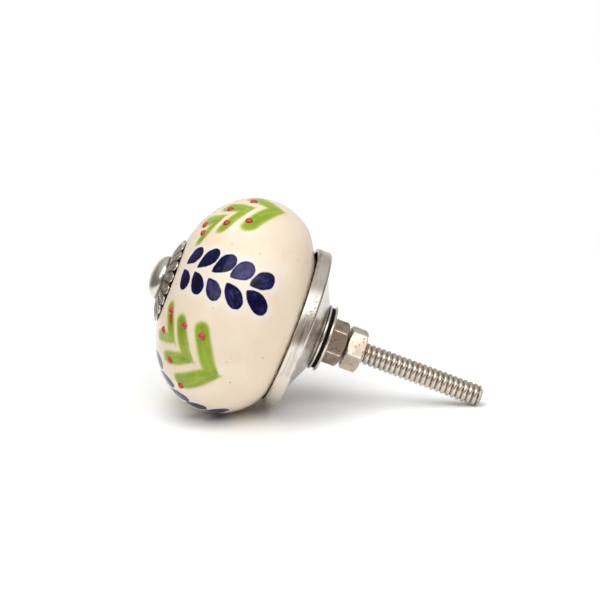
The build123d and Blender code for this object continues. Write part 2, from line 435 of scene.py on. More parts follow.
class Finish(Nodes):
    """A material of one shader, with the nodes that feed it."""

    def __init__(self, name):
        self.material = bpy.data.materials.new(name)
        self.material.use_nodes = True
        super().__init__(self.material.node_tree, "Object")
        self.shader = self.tree.nodes["Principled BSDF"]

    def set(self, **values):
        """Sets the shader's own sockets, with _ for a space."""
        for key, value in values.items():
            self.feed(self.shader.inputs[key.replace("_", " ")], value)

    def show(self, surface):
        """Shows another surface in the stead of the shader alone."""
        self.feed(self.tree.nodes["Material Output"].inputs["Surface"], surface)

    def bump(self, height, distance, strength):
        """Fine relief from a height of 0 to 1."""
        inputs = {"Height": height, "Distance": distance, "Strength": strength}
        self.set(Normal=self.add("Bump", inputs).outputs["Normal"])


def shaded(tint, share):
    """A tint made darker, or brighter up to white."""
    return tuple(min(1.0, share * c) for c in tint)


# The painted ceramic

# Specks in the glaze: angle about the screw, place along it and distance from it in mm, size and strength
SPECKS = (
    (8.0, -20.57, 18.84, 0.14, 0.55),
    (-57.0, -19.18, 19.43, 0.17, 0.8),
    (-27.4, -13.09, 19.67, 0.18, 0.7),
    (45.1, -21.28, 18.44, 0.15, 0.6),
    (42.8, -16.3, 19.98, 0.16, 0.7),
    (12.4, -27.68, 9.96, 0.26, 0.75),
    (-8.8, -9.43, 18.04, 0.17, 0.7),
    (-15.5, -15.1, 19.96, 0.3, 0.18),
)

# Brush strokes: where along a stroke it is widest, how slender its point is, its width at its root, and how
# square its end is
TEARDROP = (0.6, 0.8, 0.0, 2.0)
BLUNT = (None, 0.45, 0.0, 2.0)
BLADE = (None, 0.9, 0.6)

# Seeds of the painter's hand, for the leaves and for the dots
LEAF_SEED = 11
DOT_SEED = 5

# Sizes of the strokes, in mm: how far round a stroke the paint is worked out, what stands for far away,
# how far the halves of a chevron overlap, the bow of a blue leaf, how far the upper ones lag, and the
# streak's width
PAINT_REACH = 2.2
FAR = 9.0
CHEVRON_OVERLAP = 0.15
BLUE_BOW = 0.12
UPPER_LAG = 0.15
SMEAR_WIDTH = 1.2


class Profile:
    """The bulb's outline: a quarter ellipse before the belly and an arc behind it."""

    def __init__(self, ceramic):
        self.flat = ceramic.flat_radius
        self.belly = ceramic.belly_y
        self.round = BULB_HIGH[0]
        self.front = BULB_LOW[1]
        self.mouth = CUP_LOW[1]
        self.foot = ceramic.foot_radius
        run = self.mouth - self.belly
        drop = self.round - self.foot
        self.rear_radius = (run**2 + drop**2) / (2.0 * drop)
        self.rear_angle = math.asin(run / self.rear_radius)
        radius, along = self.before_belly(np.linspace(0.0, math.pi / 2.0, 400))
        steps = np.hypot(np.diff(radius), np.diff(along))
        self.arc_table = np.concatenate([[0.0], np.cumsum(steps)])
        self.along_table = along

    def before_belly(self, turn):
        """Radius and place along the screw at an angle round the ellipse, from the belly to the flat."""
        radius = self.flat + (self.round - self.flat) * np.cos(turn)
        along = self.belly - (self.belly - self.front) * np.sin(turn)
        return radius, along

    def behind_belly(self, share):
        """Radius and place along the screw at a share of the rear arc, from the belly to the mouth."""
        turn = share * self.rear_angle
        radius = self.round - self.rear_radius * (1.0 - np.cos(turn))
        along = self.belly + self.rear_radius * np.sin(turn)
        return radius, along

    def arc(self, along):
        """Arc length from the belly, with the front negative."""
        ahead = -np.interp(-along, -self.along_table, self.arc_table)
        turn = np.arcsin(np.clip((along - self.belly) / self.rear_radius, -1.0, 1.0))
        return np.where(along < self.belly, ahead, self.rear_radius * turn)


def leaf_outline(tip, end, width, shape, bow, hand):
    """Points round a brush stroke from a pointed tip to a round end, in the plane of arc and side, with a
    hand's small wobble."""
    widest, point, root, square = shape
    axis = np.array(end) - np.array(tip)
    size = np.hypot(*axis)
    axis = axis / size
    # A stroke with a broad root starts a little before its tip
    before = 0.6 * width if root else 0.0
    tip = np.array(tip) - axis * before
    size += before
    side = np.array([-axis[1], axis[0]])
    share = 0.5 - 0.5 * np.cos(np.linspace(0.0, math.pi, 30))
    if widest is None:
        # A stroke that keeps its width to a half-round end
        widest = 1.0 - width / (square * size)
    rising = root + (1.0 - root) * np.sin(0.5 * math.pi * np.clip(share / widest, 0.0, 1.0)) ** point
    beyond = np.clip((share - widest) / (1.0 - widest), 0.0, 1.0)
    falling = np.clip(1.0 - beyond**square, 0.0, 1.0) ** (1.0 / square)
    half = 0.5 * width * np.where(share < widest, rising, falling)
    middle = tip + np.outer(share * size, axis) + np.outer(bow * np.sin(math.pi * share), side)
    wobble = hand.normal(0.0, 0.008, (4, 2)) * width
    waves = [np.sin((k + 1.5) * math.pi * share) for k in range(4)]
    left = half + sum(wobble[k, 0] * waves[k] for k in range(4)) * (half > 0.0)
    right = half + sum(wobble[k, 1] * waves[k] for k in range(4)) * (half > 0.0)
    upper = middle + left[:, None] * side
    lower = middle - right[:, None] * side
    return np.concatenate([upper, lower[-2::-1]])


def edge_distance(points, outline):
    """Distance of each point from a closed outline, negative inside it."""
    best = np.full(len(points), np.inf)
    inside = np.zeros(len(points), dtype=bool)
    for start, end in zip(outline, np.roll(outline, -1, axis=0)):
        step = end - start
        size = max(step @ step, 1e-12)
        share = np.clip((points - start) @ step / size, 0.0, 1.0)
        nearest = start + share[:, None] * step
        best = np.minimum(best, np.hypot(*(points - nearest).T))
        if start[1] != end[1]:
            spans = (start[1] > points[:, 1]) != (end[1] > points[:, 1])
            crossing = start[0] + (points[:, 1] - start[1]) * step[0] / step[1]
            inside ^= spans & (points[:, 0] < crossing)
    return np.where(inside, -best, best)


def blue_leaves(paint, shift, hand):
    """Tip, end and width of each leaf of one blue sprig."""
    for i in range(len(paint.upper_end)):
        start = paint.blue_first + paint.blue_pitch * i + shift
        jitter = hand.normal(0.0, 0.08, 4)
        upper = start + UPPER_LAG
        upper_end = (upper + paint.upper_run[i], paint.upper_end[i])
        yield (upper, paint.upper_tip[i]), upper_end, paint.upper_width[i]
        lower = start + jitter[0]
        lower_end = (lower + paint.lower_run[i], paint.lower_end[i])
        yield (lower, paint.lower_tip[i]), lower_end, paint.lower_width[i]


def green_leaves(paint, shift, size):
    """Root, end, width, shape, bow and side of each leaf of one green sprig."""
    for row, (start, end, reach) in enumerate(zip(paint.green_start, paint.green_end, paint.green_reach)):
        root = (start + shift, 0.0)
        run = start + shift + (end - start) * size
        shape = (*BLADE, paint.green_blunt[row])
        yield root, (run, reach * size), paint.upper_green[row], shape, paint.green_bow[row], 1
        yield root, (run, -reach * size), paint.lower_green[row], shape, 0.0, -1


def dot_places(paint):
    """Angles round the bulb's front and about the screw of each raised dot."""
    middle = (len(paint.dot_along) - 1) / 2.0
    sprigs = zip(paint.dot_angles, paint.dot_spread, paint.dot_lean, paint.dot_forward)
    for sprig_angle, spread, lean, forward in sprigs:
        for row, (along, turn) in enumerate(zip(paint.dot_along, paint.dot_turn)):
            for side in (1, -1):
                around = sprig_angle + lean * (row - middle) + side * spread * turn
                yield math.radians(along + forward), math.radians(around)


def paint_sprigs(mesh, profile, paint):
    """Stores at each vertex how far it is from the strokes of each colour, and where in a stroke it lies."""
    radius, along, turn = cylindrical(mesh)
    outer = radius > 0.3 * profile.round
    arc = profile.arc(along) / MM
    hand = np.random.default_rng(LEAF_SEED)
    edges = {name: np.full(len(radius), FAR) for name in ("blue", "green", "green_core", "red")}
    nearest = np.full(len(radius), FAR)
    lengthwise = np.zeros(len(radius))
    crosswise = np.zeros(len(radius))
    tone = np.zeros(len(radius))

    def stroke(name, sprig_angle, lean, tip, end, width, shape, bow, shade, half=0):
        """Lays one stroke on the surface near it, on one side of its stem only where half is 1 or -1."""
        centre = math.radians(sprig_angle) + np.radians(lean * arc)
        side = (np.mod(turn - centre + math.pi, 2.0 * math.pi) - math.pi) * radius / MM
        low = np.minimum(tip, end) - width - PAINT_REACH
        high = np.maximum(tip, end) + width + PAINT_REACH
        near = outer & (arc > low[0]) & (arc < high[0]) & (side > low[1]) & (side < high[1])
        points = np.stack([arc[near], side[near]], axis=-1)
        distance = edge_distance(points, leaf_outline(tip, end, width, shape, bow, hand))
        if half:
            # The two halves of a chevron are one wet stroke, so their joint is no edge
            edges["green_core"][near] = np.minimum(edges["green_core"][near], distance)
            distance = np.maximum(distance, -half * points[:, 1] - CHEVRON_OVERLAP)
        edges[name][near] = np.minimum(edges[name][near], distance)
        won = distance < nearest[near]
        wins = np.flatnonzero(near)[won]
        closer = points[won]
        nearest[wins] = distance[won]
        axis = np.array(end) - np.array(tip)
        size = np.hypot(*axis)
        axis = axis / size
        lengthwise[wins] = (closer - tip) @ axis / size
        crosswise[wins] = (closer - tip) @ np.array([-axis[1], axis[0]]) / (0.5 * width)
        tone[wins] = shade

    blue_sprigs = zip(paint.blue_angles, paint.blue_lean, paint.blue_shift)
    for sprig, (sprig_angle, lean, shift) in enumerate(blue_sprigs):
        for i, (tip, end, width) in enumerate(blue_leaves(paint, shift, hand)):
            order = i // 2 + len(paint.upper_end) * (i % 2)
            shade = paint.blue_tones[order] if sprig == 0 else hand.uniform(0.0, 1.0)
            bow = BLUE_BOW if i % 2 else -BLUE_BOW
            stroke("blue", sprig_angle, lean, tip, end, width, TEARDROP, bow, shade)
    green_sprigs = zip(paint.green_angles, paint.green_lean, paint.green_shift, paint.green_size)
    for sprig_angle, lean, shift, size in green_sprigs:
        for tip, end, width, shape, bow, half in green_leaves(paint, shift, size):
            stroke("green", sprig_angle, lean, tip, end, width, shape, bow, hand.uniform(0.2, 0.8), half)
    # The foremost dot above the first stem was dragged into a streak while it was wet
    along, around = list(dot_places(paint))[2 * (len(paint.dot_along) - 1)]
    dot_reach, dot_y = profile.before_belly(along)
    start = profile.arc(np.array([dot_y]))[0] / MM
    stem = paint.green_angles[0]
    start_side = (around - math.radians(stem)) * dot_reach / MM
    smear_end = tuple(paint.smear_end)
    stroke("red", stem, 0.0, smear_end, (start, start_side), SMEAR_WIDTH, BLUNT, 0.0, 0.5)
    for name, distance in edges.items():
        keep(mesh, name + "_edge", distance)
    keep(mesh, "stroke_length", lengthwise)
    keep(mesh, "stroke_side", crosswise)
    keep(mesh, "stroke_tone", tone)


def clouded_glaze(glaze, ceramic, cloud, grain):
    """Ivory with cream and peach clouds, fine grain, scattered pin specks and the larger ones."""
    warm = glaze.noise(70.0, 4.0, glaze.stretched(1.0, 1.6, 1.2))
    body = glaze.blend(glaze.ease(cloud, 0.4, 0.7), ceramic.ivory, ceramic.cream)
    body = glaze.blend(glaze.ease(warm, 0.52, 0.78, 0.0, 0.6), body, ceramic.peach)
    body = glaze.blend(glaze.ease(grain, 0.58, 0.8, 0.0, 0.16), body, ceramic.speck)
    cells = glaze.add("TexVoronoi", {"Vector": glaze.position, "Scale": 330.0, "Randomness": 1.0})
    lot = glaze.add("SeparateColor", {0: cells.outputs["Color"]}).outputs[0]
    spot = glaze.times(glaze.ease(cells.outputs["Distance"], 0.075, 0.035), glaze.ease(lot, 0.955, 0.96))
    body = glaze.blend(glaze.times(spot, 0.75), body, ceramic.speck)
    for turn, y, reach, size, share in SPECKS:
        around = math.radians(turn)
        centre = Vector((reach * math.cos(around), y, reach * math.sin(around))) * MM
        ragged = glaze.times(glaze.calc("SUBTRACT", grain, 0.5), size * MM)
        away = glaze.plus(glaze.measure("DISTANCE", glaze.position, centre), ragged)
        body = glaze.blend(glaze.ease(away, size * MM, 0.4 * size * MM, 0.0, share), body, ceramic.speck)
    return body


def painted_leaves(glaze, paint, body, cloud, edges):
    """The blue and green leaves and the red streak, thin and thick as the brush left them."""
    bleed = glaze.times(glaze.ease(edges["blue"], 1.6, 0.0), glaze.ease(cloud, 0.25, 0.6, 0.5, 0.95))
    body = glaze.blend(bleed, body, paint.halo)
    body = glaze.blend(glaze.ease(edges["blue"], 0.2, 0.0, 0.0, 0.4), body, paint.lilac)
    body = glaze.blend(glaze.ease(edges["green"], 0.6, 0.0, 0.0, 0.3), body, paint.lime)

    # Brush streaks run along each stroke
    tone = glaze.kept("stroke_tone")
    lengthwise = glaze.times(glaze.kept("stroke_length"), 1.3)
    crosswise = glaze.times(glaze.kept("stroke_side"), 1.6)
    streak = glaze.noise(1.3, 3.0, glaze.vector(lengthwise, crosswise, glaze.times(tone, 40.0)))
    patch = glaze.noise(620.0, 4.0, roughness=0.6)
    thin = glaze.plus(glaze.times(streak, 0.9), glaze.times(patch, 0.6))
    thin = glaze.plus(thin, glaze.times(tone, 0.55))
    inside = glaze.ease(edges["blue"], -0.08, -0.55, 0.25, 1.0)
    blue = glaze.blend(glaze.ease(patch, 0.42, 0.62), paint.navy, paint.cobalt)
    blue = glaze.blend(glaze.times(glaze.ease(thin, 0.9, 1.6), inside), blue, paint.violet)
    body = glaze.blend(glaze.ease(edges["blue"], 0.07, -0.05), body, blue)

    thick = glaze.plus(glaze.times(streak, 0.7), glaze.times(patch, 0.3))
    thick = glaze.plus(thick, glaze.times(glaze.noise(300.0, 2.0), 0.55))
    green = glaze.blend(glaze.ease(thick, 0.5, 0.95), paint.moss, paint.leaf_green)
    green = glaze.blend(glaze.ease(thick, 0.75, 1.15, 0.0, 0.7), green, paint.lime)
    green = glaze.blend(glaze.ease(glaze.kept("green_core_edge"), -0.7, 0.0, 0.0, 0.6), green, paint.lime)
    body = glaze.blend(glaze.ease(edges["green"], 0.28, -0.28), body, green)
    return glaze.blend(glaze.ease(edges["red"], 0.25, -0.25, 0.0, 0.9), body, paint.smear)


def specks_and_gap_shade(glaze, ceramic, profile, body, grain):
    """Specks thicker towards the cup's mouth, and painted shade: near black in the gap at the cup's mouth and
    under the cap.
    """
    reach, y = glaze.off_axis()
    mouth = profile.mouth
    speckled = glaze.ease(y, mouth - 0.9 * MM, mouth + 0.1 * MM, 0.0, 0.6)
    body = glaze.blend(glaze.times(speckled, glaze.ease(grain, 0.35, 0.65)), body, ceramic.speck)
    # Painted shade: near black in the gap at the cup's mouth
    body = glaze.blend(glaze.ease(y, mouth - 0.12 * MM, mouth + 0.1 * MM), body, ceramic.gap_shade)
    # Painted shade under the cap, so that the notches between the petals show black
    under_cap = glaze.ease(reach, CAP_HIGH[0] - 0.02 * MM, CAP_HIGH[0] - 0.2 * MM)
    in_front = glaze.ease(y, profile.belly, profile.belly - 1.0 * MM)
    return glaze.blend(glaze.times(under_cap, in_front), body, ceramic.gap_shade)


def ceramic_finish(ceramic, paint, profile):
    """Glossy ivory glaze with clouds and specks, and the painted sprigs under it."""
    glaze = Finish("ivory_glaze")
    cloud = glaze.noise(110.0, 3.0)
    grain = glaze.noise(900.0, 5.0, roughness=0.65)
    ragged = glaze.times(glaze.calc("SUBTRACT", glaze.noise(1500.0, 3.0), 0.5), 0.2)
    edges = {name: glaze.plus(glaze.kept(name + "_edge"), ragged) for name in ("blue", "green", "red")}
    body = clouded_glaze(glaze, ceramic, cloud, grain)
    body = painted_leaves(glaze, paint, body, cloud, edges)
    body = specks_and_gap_shade(glaze, ceramic, profile, body, grain)
    ripple = glaze.plus(glaze.noise(150.0, 2.0), glaze.times(glaze.noise(1300.0, 2.0), 0.05))
    raised = glaze.times(glaze.ease(edges["green"], 0.2, -0.3), 0.12)
    glaze.bump(glaze.plus(ripple, raised), 0.3 * MM, 0.5)
    glaze.set(Base_Color=body, Roughness=glaze.ease(grain, 0.3, 0.8, 0.06, 0.16), IOR=1.52)
    glaze.set(Specular_IOR_Level=0.16)
    return glaze


class OBJECT_OT_knob_ceramic(bpy.types.Operator):
    """Build the glazed bulb with its painted sprigs"""

    bl_idname = "object.knob_ceramic"
    bl_label = "Ceramic bulb"

    def execute(self, context):
        ceramic = context.scene.knob_ceramic
        paint = context.scene.knob_paint
        profile = Profile(ceramic)
        rings = [(ceramic.bore_radius, profile.front), (profile.flat * 0.9, profile.front)]
        front = profile.before_belly(np.linspace(math.pi / 2.0, 0.0, BULB_FRONT_RINGS))
        rear = profile.behind_belly(np.linspace(0.0, 1.0, BULB_REAR_RINGS)[1:])
        rings += list(zip(*front)) + list(zip(*rear))
        foot_y = BULB_HIGH[1]
        rings += [(profile.foot, profile.mouth + 0.3 * MM), (profile.foot, foot_y)]
        rings.append((ceramic.bore_radius, foot_y))
        radius, along, angles = spun(np.array(rings), BULB_COLUMNS)
        # Thrown and fettled by hand: never quite round, and narrower at the foot on one side
        wave = 0.5 + 0.25 * np.sin(2.0 * angles + 0.6) + 0.25 * np.sin(3.0 * angles + along / (9.0 * MM))
        outside = eased(0.4, 0.6, radius / profile.round)
        gap = np.clip(np.cos(angles - math.radians(97.0)), 0.0, 1.0) ** 7
        narrow = ceramic.seat_gap * gap * eased(profile.mouth - 3.2 * MM, profile.mouth, along)
        radius = radius - outside * (ceramic.unevenness * wave + narrow)
        piece = wound("ceramic_bulb_glazed", radius, along, angles)
        paint_sprigs(piece.data, profile, paint)
        place(piece, ceramic_finish(ceramic, paint, profile), "ceramic_bulb")
        return {"FINISHED"}


def enamel_finish(paint):
    """Thick glossy red enamel."""
    enamel = Finish("red_enamel")
    mottle = enamel.noise(1500.0, 2.0)
    pale = tuple(0.85 * c + 0.15 * 0.6 for c in paint.red)
    enamel.set(Base_Color=enamel.blend(enamel.ease(mottle, 0.45, 0.8, 0.0, 0.3), paint.red, pale))
    enamel.set(Roughness=0.13, IOR=1.52, Coat_Weight=0.3, Coat_Roughness=0.05)
    return enamel


class OBJECT_OT_knob_dots(bpy.types.Operator):
    """Build the raised red dots on the bulb"""

    bl_idname = "object.knob_dots"
    bl_label = "Raised dots"

    def execute(self, context):
        paint = context.scene.knob_paint
        profile = Profile(context.scene.knob_ceramic)
        hand = np.random.default_rng(DOT_SEED)
        work = bmesh.new()
        for along, around in dot_places(paint):
            self.add_dot(work, profile, paint, along, around, hand)
        mesh = bpy.data.meshes.new("enamel_dots")
        work.to_mesh(mesh)
        work.free()
        mesh.shade_smooth()
        place(in_scene("enamel_dots", mesh), enamel_finish(paint))
        return {"FINISHED"}

    def add_dot(self, work, profile, paint, along, turn, hand):
        """One bead, sunk in the glaze, a little squashed and never quite round."""
        width = profile.round - profile.flat
        depth = profile.belly - profile.front
        out = Vector((math.cos(along) / width, -math.sin(along) / depth)).normalized()
        radius, y = profile.before_belly(along)
        size = paint.dot_radius * hand.uniform(0.95, 1.0)
        sunk = size - paint.dot_height
        radius -= sunk * out.x
        y -= sunk * out.y
        centre = Vector((radius * math.cos(turn), y, radius * math.sin(turn)))
        normal = Vector((out.x * math.cos(turn), out.y, out.x * math.sin(turn)))
        facing = normal.to_track_quat("Z", "Y").to_matrix().to_4x4()
        shape = Matrix.Diagonal((hand.uniform(1.1, 1.25), hand.uniform(1.1, 1.25), 1.0, 1.0))
        place_bead = Matrix.Translation(centre) @ facing @ shape
        bmesh.ops.create_uvsphere(work, u_segments=28, v_segments=18, radius=size, matrix=place_bead)


# The metal pieces

# Middle of the pitted patch on the cup's band, in mm
PIT_CENTRE = (14.3, -3.9, 8.3)


def plated(name, tint, roughness, streaks, darkening=None):
    """Plated metal with fine streaks and cloudy wear. Darkening is a number that the mesh holds, its values
    where the metal is plain and where it is darkest, the strength and the dark colour; it serves for painted
    shade at the dome's rim and for darker thread roots."""
    metal = Finish(name)
    cloud = metal.noise(260.0, 4.0, roughness=0.6)
    streak = metal.noise(1.0, 4.0, metal.stretched(*streaks))
    body = metal.blend(metal.ease(cloud, 0.42, 0.72), tint, shaded(tint, 0.8))
    body = metal.blend(metal.ease(streak, 0.5, 0.85, 0.0, 0.35), body, shaded(tint, 1.25))
    if darkening:
        layer, plain_at, darkest_at, share, dark_tint = darkening
        body = metal.blend(metal.ease(metal.kept(layer), plain_at, darkest_at, 0.0, share), body, dark_tint)
    rough = metal.ease(cloud, 0.3, 0.75, roughness - 0.05, roughness + 0.07)
    metal.set(Base_Color=body, Metallic=1.0, Roughness=rough)
    metal.bump(streak, 0.02 * MM, 0.35)
    return metal


class OBJECT_OT_knob_cap(bpy.types.Operator):
    """Build the pressed flower cap with its petals"""

    bl_idname = "object.knob_cap"
    bl_label = "Flower cap"

    def execute(self, context):
        metal = context.scene.knob_metal
        angles = turns(metal.petals * PETAL_COLUMNS)
        # Place across a petal, from -0.5 to 0.5, with 0 on its middle line
        across = np.mod(angles * metal.petals / (2.0 * math.pi) + 0.5, 1.0) - 0.5
        edge = CAP_HIGH[0] - metal.notch * np.abs(2.0 * across) ** 3.0
        share = np.linspace(0.0, 1.0, CAP_FRONT_RINGS)[:, None]
        radius = metal.cap_hole + (edge[None, :] - metal.cap_hole) * share
        relief = self.relief(radius, edge, across)
        front = self.sheet_front(metal, radius) - relief * metal.emboss
        back_share = np.linspace(1.0, 0.0, CAP_BACK_RINGS)[:, None]
        back_radius = metal.cap_hole + (edge[None, :] - metal.cap_hole) * back_share
        thick = metal.cap_sheet * (1.0 - metal.rim_thinning * eased(0.45, 1.0, back_share))
        back = self.sheet_front(metal, back_radius) + thick
        piece = wound(
            "flower_cap_embossed",
            np.concatenate([radius, back_radius]),
            np.concatenate([front, back]),
            angles,
            crease=50.0,
        )
        height = np.concatenate([relief, np.full_like(back, -1.0)])
        keep(piece.data, "relief", height.reshape(-1))
        from_edge = np.concatenate([edge - radius, np.zeros_like(back)]) / MM
        keep(piece.data, "from_edge", from_edge.reshape(-1))
        keep(piece.data, "across", np.tile(np.abs(across), len(height)))
        place(piece, self.finish(metal), "flower_cap")
        return {"FINISHED"}

    def finish(self, metal):
        """Worn plate with engraved lines on each petal, a rubbed rim and dirt in the grooves."""
        plate = Finish("worn_cap_nickel")
        cloud = plate.noise(420.0, 4.0, roughness=0.6)
        depth = plate.kept("from_edge")
        slant = plate.plus(plate.times(plate.kept("across"), 7.0), plate.times(depth, 1.3))
        wave = plate.calc("SINE", plate.times(slant, 2.0 * math.pi))
        on_petal = plate.times(plate.ease(depth, 0.12, 0.25), plate.ease(depth, 2.7, 2.4))
        line = plate.times(plate.ease(wave, -0.1, -0.7), on_petal)
        dull = shaded(metal.worn_nickel, 0.72)
        body = plate.blend(plate.ease(cloud, 0.4, 0.7), metal.worn_nickel, dull)
        body = plate.blend(plate.times(line, 0.55), body, metal.tarnish_and_shade)
        darkening = plate.ease(plate.kept("relief"), -0.35, -0.95, 0.0, 0.85)
        body = plate.blend(darkening, body, metal.tarnish_and_shade)
        plate.set(Base_Color=body, Metallic=1.0, Roughness=plate.ease(cloud, 0.3, 0.75, 0.24, 0.38))
        plate.bump(plate.times(line, -1.0), 0.05 * MM, 0.6)
        return plate

    def sheet_front(self, metal, radius):
        """Front of the sheet: flat, then bent down towards the petals."""
        out = np.clip((radius - metal.crown_radius) / metal.cap_bend, 0.0, 0.98)
        return CAP_LOW[1] + metal.cap_bend * (1.0 - np.sqrt(1.0 - out**2))

    def relief(self, radius, edge, across):
        """Pressed pattern, from -1 in the grooves to 0 on the sheet: petals with raised rims and middle
        veins, and a ring round the crown."""
        from_edge = edge - radius
        on_petal = eased(4.75 * MM, 5.3 * MM, radius)
        groove = -np.exp(-(((np.abs(across) - 0.5) / 0.09) ** 2)) * on_petal
        hollow = -0.55 * eased(0.12 * MM, 0.4 * MM, from_edge) * on_petal
        vein = 0.4 * np.exp(-((across / 0.08) ** 2)) * on_petal
        ring = -0.6 * np.exp(-(((radius - 4.6 * MM) / (0.13 * MM)) ** 2))
        return np.clip(groove + hollow + vein + ring, -1.0, 0.0)


class OBJECT_OT_knob_cup(bpy.types.Operator):
    """Build the spun base cup"""

    bl_idname = "object.knob_cup"
    bl_label = "Base cup"

    def execute(self, context):
        metal = context.scene.knob_metal
        band = CUP_HIGH[0]
        mouth = CUP_LOW[1]
        sheet = metal.cup_sheet
        cone_end_y = -metal.hub_height
        slope = (metal.step_radius - metal.cone_end) / (cone_end_y - metal.step_y)
        slant = math.hypot(1.0, slope)
        shift = sheet * slant - sheet * slope
        corners = [
            (band - sheet, mouth, 0.12 * MM),
            (band, mouth, 0.18 * MM),
            (band, metal.step_y, 0.45 * MM),
            (metal.step_radius, metal.step_y, 0.3 * MM),
            (metal.cone_end, cone_end_y, 0.2 * MM),
            (metal.hub_radius, cone_end_y, 0.06 * MM),
            (metal.hub_radius, 0.0, 0.08 * MM),
            (metal.cup_hole, 0.0, 0.06 * MM),
            (metal.cup_hole, -sheet, 0.06 * MM),
            (metal.cone_end - shift - 0.6 * MM, -sheet, 0.1 * MM),
            (metal.step_radius - shift, metal.step_y - sheet, 0.1 * MM),
            (band - sheet, metal.step_y - sheet, 0.1 * MM),
        ]
        piece = lathed("base_cup_spun", corners, CUP_COLUMNS)
        place(piece, self.finish(metal), "base_cup")
        return {"FINISHED"}

    def finish(self, metal):
        """Bright plate with faint turned lines, thumbed clouds and one patch of pits."""
        plate = Finish("bright_cup_nickel")
        cloud = plate.noise(150.0, 4.0, roughness=0.6)
        fine = plate.noise(2600.0, 3.0)
        reach, y = plate.off_axis()
        lines = plate.noise(5200.0, 2.0, plate.vector(reach, y))
        body = plate.blend(plate.ease(cloud, 0.4, 0.75), metal.nickel, shaded(metal.nickel, 0.84))
        from_pits = plate.measure("DISTANCE", plate.position, Vector(PIT_CENTRE) * MM)
        patch = plate.ease(from_pits, 4.2 * MM, 0.8 * MM)
        pits = plate.times(plate.ease(fine, 0.55, 0.62), patch)
        body = plate.blend(plate.times(pits, 0.9), body, metal.tarnish_and_shade)
        rub_and_highlight = plate.times(patch, plate.ease(plate.noise(520.0, 3.0), 0.35, 0.6, 0.15, 0.6))
        body = plate.blend(rub_and_highlight, body, shaded(metal.nickel, 0.5))
        # Rubbed streaks round the band and the cone, the cone darker all over, and painted shade where the
        # hub meets the first washer
        wander = plate.times(plate.noise(90.0, 2.0), 3.0)
        round_band = plate.vector(plate.times(reach, 900.0), plate.times(y, 900.0), wander)
        smudge = plate.ease(plate.noise(1.0, 4.0, round_band), 0.46, 0.7)
        broken = plate.times(smudge, plate.ease(plate.noise(330.0, 3.0), 0.3, 0.6))
        body = plate.blend(plate.times(broken, 0.6), body, metal.tarnish_and_shade)
        cone = plate.ease(reach, metal.step_radius + 0.1 * MM, metal.step_radius - 0.4 * MM, 0.0, 0.22)
        body = plate.blend(cone, body, metal.tarnish_and_shade)
        # Painted shade in the corner where the hub meets the first washer
        hub_shade = plate.ease(reach, metal.cone_end + 0.2 * MM, metal.cone_end, 0.0, 0.7)
        body = plate.blend(hub_shade, body, metal.tarnish_and_shade)
        plate.set(Base_Color=body, Metallic=1.0, Roughness=plate.ease(cloud, 0.3, 0.8, 0.16, 0.3))
        height = plate.plus(plate.times(lines, 0.5), plate.times(pits, -1.0))
        plate.bump(height, 0.015 * MM, 0.4)
        return plate


class OBJECT_OT_knob_washers(bpy.types.Operator):
    """Build the two steel washers and the rubber ring between them"""

    bl_idname = "object.knob_washers"
    bl_label = "Washers"

    def execute(self, context):
        metal = context.scene.knob_metal
        steel = plated("washer_nickel", metal.nickel, 0.22, (300.0, 4000.0, 300.0))
        swell = metal.washer_swell
        for node, ahead, behind in (("inner_washer", 0.0, swell), ("outer_washer", swell, 0.0)):
            piece = self.ring(node, metal.washer_hole, 0.2 * MM, ahead, behind)
            place(piece, steel, node)
        rubber = Finish("black_rubber")
        dust = rubber.noise(1800.0, 4.0)
        grey = tuple(c + 0.006 for c in metal.rubber)
        rubber.set(Base_Color=rubber.blend(rubber.ease(dust, 0.55, 0.8), metal.rubber, grey), Roughness=0.8)
        rubber.set(Specular_IOR_Level=0.2)
        rubber.bump(dust, 0.03 * MM, 0.4)
        piece = self.ring("rubber_washer", metal.washer_hole, 0.12 * MM, -swell, -swell)
        place(piece, rubber, "rubber_washer")
        return {"FINISHED"}

    def ring(self, node, hole, fillet, ahead, behind):
        """A flat ring as wide as its plain solid, with rounded edges, and thicker ahead and behind."""
        low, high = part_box(node)
        start = low[1] - ahead
        end = high[1] + behind
        corners = [(hole, start, 0.0), (high[0], start, fillet), (high[0], end, fillet), (hole, end, 0.0)]
        return lathed(node + "_ring", corners, WASHER_COLUMNS)


